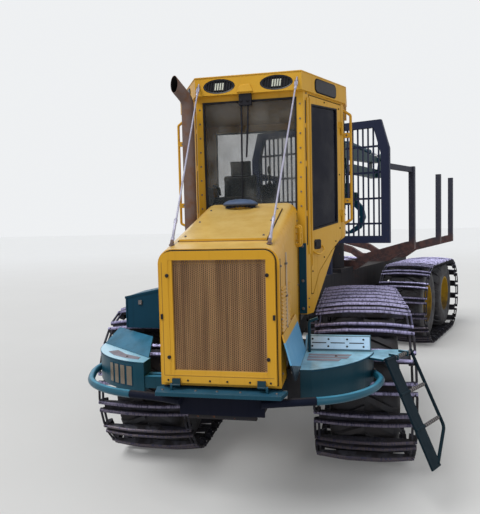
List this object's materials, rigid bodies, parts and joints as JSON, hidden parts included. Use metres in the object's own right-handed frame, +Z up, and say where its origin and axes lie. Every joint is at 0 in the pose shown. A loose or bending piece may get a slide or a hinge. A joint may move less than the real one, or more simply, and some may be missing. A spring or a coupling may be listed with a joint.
{
  "type": "forestry forwarder",
  "caption": "Articulated forestry forwarder on bogie tracks, with a splayed cab behind a grilled bonnet, a loading crane, headboard gate and stake bunks.",
  "frame": {"origin": "centre of the whole part's box at its underside, on the ground", "axes": "+Z up; -Y is the way the front unit faces; +X is the machine's left"},
  "size_m": [4.5026, 9.8457, 3.74],
  "materials": {
    "yellow_paint": "satin",
    "teal_paint": "satin",
    "dark_frame_paint": "matte",
    "brown_steel": "matte",
    "gate_paint": "matte",
    "track_steel": "worn",
    "tyre_rubber": "matte",
    "exhaust_steel": "matte",
    "black_plastic": "matte",
    "mesh_sheet": "satin",
    "cab_pane": "gloss",
    "seat_cloth": "matte",
    "rod_chrome": "polished",
    "stay_steel": "satin",
    "engine_paint": "matte",
    "lamp_black": "gloss",
    "radiator_core": "matte"
  },
  "bodies": {
    "front_unit": {"front_frame": "dark_frame_paint", "engine": "engine_paint", "radiator": "radiator_core", "hood_shell": "yellow_paint", "hood_top_panel": "yellow_paint", "fender_left": "teal_paint", "fender_right": "teal_paint", "bumper": "teal_paint", "tool_box": "teal_paint", "exhaust_stack": "exhaust_steel", "air_intake": "black_plastic", "cab_shell": "yellow_paint", "cab_roof": "yellow_paint", "roof_lamps": "lamp_black", "cab_glass": "cab_pane", "seat": "seat_cloth", "consoles": "black_plastic", "grab_rails": "yellow_paint", "branch_stays": "stay_steel", "wiper": "black_plastic", "front_axle": "dark_frame_paint", "front_tyres": "tyre_rubber", "front_rims": "yellow_paint", "front_track_left": "track_steel", "front_track_right": "track_steel"},
    "rear_unit": {"rear_frame": "brown_steel", "headboard_gate": "gate_paint", "bunks_and_stakes": "brown_steel", "rear_axle": "dark_frame_paint", "rear_tyres": "tyre_rubber", "rear_rims": "yellow_paint", "rear_track_left": "track_steel", "rear_track_right": "track_steel"},
    "cab_door": {"cab_door": "yellow_paint", "door_glass": "cab_pane"},
    "grille_door": {"grille_door": "yellow_paint", "grille_sheet": "mesh_sheet"},
    "ladder": {"ladder": "teal_paint"},
    "crane_column": {"crane_column": "teal_paint"},
    "main_boom": {"main_boom": "teal_paint"},
    "outer_boom": {"outer_boom": "teal_paint"},
    "boom_extension": {"boom_extension": "teal_paint"},
    "swing_link": {"swing_link": "dark_frame_paint"},
    "grapple_head": {"grapple_head": "dark_frame_paint"},
    "grapple_jaw_left": {"grapple_jaw_left": "brown_steel"},
    "grapple_jaw_right": {"grapple_jaw_right": "brown_steel"},
    "lift_ram_barrel": {"lift_ram_barrel": "teal_paint"},
    "lift_ram_rod": {"lift_ram_rod": "rod_chrome"},
    "jib_ram_barrel": {"jib_ram_barrel": "teal_paint"},
    "jib_ram_rod": {"jib_ram_rod": "rod_chrome"},
    "steering_barrel_left": {"steering_barrel_left": "teal_paint"},
    "steering_barrel_right": {"steering_barrel_right": "teal_paint"},
    "steering_rod_left": {"steering_rod_left": "rod_chrome"},
    "steering_rod_right": {"steering_rod_right": "rod_chrome"}
  },
  "joints": [
    {"name": "steering", "type": "hinge", "parent": "front_unit", "child": "rear_unit", "pos_m": [-0.846, -0.463, 1.01], "axis": [0, 0, 1], "range_deg": [-20, 60]},
    {"name": "cab_door_hinge", "type": "hinge", "parent": "front_unit", "child": "cab_door", "pos_m": [-0.0408, -2.8683, 2.7], "axis": [0, 0, 1], "range_deg": [0, 90]},
    {"name": "grille_door_hinge", "type": "hinge", "parent": "front_unit", "child": "grille_door", "pos_m": [-0.846, -4.8655, 1.16], "axis": [1, 0, 0], "range_deg": [0, 90]},
    {"name": "ladder_hinge", "type": "hinge", "parent": "front_unit", "child": "ladder", "pos_m": [0.394, -3.988, 1.185], "axis": [-0.5299, -0.848, 0], "range_deg": [0, 110]},
    {"name": "crane_slew", "type": "hinge", "parent": "rear_unit", "child": "crane_column", "pos_m": [-0.29877, 1.04051, 1.9], "axis": [0, 0, 1], "range_deg": [-90, 90]},
    {"name": "boom_lift", "type": "hinge", "parent": "crane_column", "child": "main_boom", "pos_m": [-0.29877, 1.04051, 3.47], "axis": [0.9397, -0.342, 0], "range_deg": [0, 68]},
    {"name": "jib_fold", "type": "hinge", "parent": "main_boom", "child": "outer_boom", "pos_m": [0.52208, 3.29577, 3.47], "axis": [0.9397, -0.342, 0], "range_deg": [0, 88.84]},
    {"name": "boom_extension", "type": "slide", "parent": "outer_boom", "child": "boom_extension", "axis": [-0.342, -0.9397, 0], "range_m": [0, 0.5964]},
    {"name": "grapple_swing", "type": "hinge", "parent": "boom_extension", "child": "swing_link", "pos_m": [-0.02515, 1.79226, 3.185], "axis": [0.9397, -0.342, 0], "range_deg": [-157.18, 0]},
    {"name": "rotator", "type": "hinge", "parent": "swing_link", "child": "grapple_head", "pos_m": [-0.02515, 1.79226, 2.85], "axis": [0, 0, 1], "continuous": true},
    {"name": "grapple_jaw_left", "type": "hinge", "parent": "grapple_head", "child": "grapple_jaw_left", "pos_m": [0.09701, 1.7478, 2.58], "axis": [-0.342, -0.9397, 0], "range_deg": [0, 50]},
    {"name": "grapple_jaw_right", "type": "hinge", "parent": "grapple_head", "child": "grapple_jaw_right", "pos_m": [-0.14731, 1.83672, 2.58], "axis": [-0.342, -0.9397, 0], "range_deg": [-50.5, 0.5]},
    {"name": "lift_ram_swing", "type": "hinge", "parent": "crane_column", "child": "lift_ram_barrel", "pos_m": [-0.2201, 1.25664, 2.48], "axis": [0.9397, -0.342, 0], "range_deg": [0, 16.68]},
    {"name": "lift_ram_stroke", "type": "slide", "parent": "lift_ram_barrel", "child": "lift_ram_rod", "axis": [0.1546, 0.4248, 0.892], "range_m": [0, 0.6913]},
    {"name": "jib_ram_swing", "type": "hinge", "parent": "main_boom", "child": "jib_ram_barrel", "pos_m": [0.00905, 1.88623, 3.645], "axis": [0.9397, -0.342, 0], "range_deg": [0, 3.3]},
    {"name": "jib_ram_stroke", "type": "slide", "parent": "jib_ram_barrel", "child": "jib_ram_rod", "axis": [0.3418, 0.9391, -0.036], "range_m": [-0.2789, 0]},
    {"name": "steering_ram_left_swing", "type": "hinge", "parent": "front_unit", "child": "steering_barrel_left", "pos_m": [-0.386, -1.163, 1.01], "axis": [0, 0, 1], "range_deg": [-7.33, 22]},
    {"name": "steering_ram_left_stroke", "type": "slide", "parent": "steering_barrel_left", "child": "steering_rod_left", "axis": [0.0322, 0.9995, 0], "range_m": [-0.1376, 0.4129]},
    {"name": "steering_ram_right_swing", "type": "hinge", "parent": "front_unit", "child": "steering_barrel_right", "pos_m": [-1.306, -1.163, 1.01], "axis": [0, 0, 1], "range_deg": [-7.3, 21.89]},
    {"name": "steering_ram_right_stroke", "type": "slide", "parent": "steering_barrel_right", "child": "steering_rod_right", "axis": [0.216, 0.9764, 0], "range_m": [-0.4129, 0.1376]}
  ],
  "couplings": [
    {"joint": "jib_fold", "follows": "boom_lift", "ratio": 1.3},
    {"joint": "boom_extension", "follows": "boom_lift", "m_per_rad": 0.5},
    {"joint": "grapple_swing", "follows": "boom_lift", "ratio": -2.3},
    {"joint": "grapple_jaw_right", "follows": "grapple_jaw_left", "ratio": -1},
    {"joint": "lift_ram_swing", "follows": "boom_lift", "ratio": 0.2429},
    {"joint": "lift_ram_stroke", "follows": "boom_lift", "m_per_rad": 0.5767},
    {"joint": "jib_ram_swing", "follows": "boom_lift", "ratio": 0.0481},
    {"joint": "jib_ram_stroke", "follows": "boom_lift", "m_per_rad": -0.2327},
    {"joint": "steering_ram_left_swing", "follows": "steering", "ratio": 0.363},
    {"joint": "steering_ram_left_stroke", "follows": "steering", "m_per_rad": 0.3904},
    {"joint": "steering_ram_right_swing", "follows": "steering", "ratio": 0.3612},
    {"joint": "steering_ram_right_stroke", "follows": "steering", "m_per_rad": -0.3904}
  ]
}
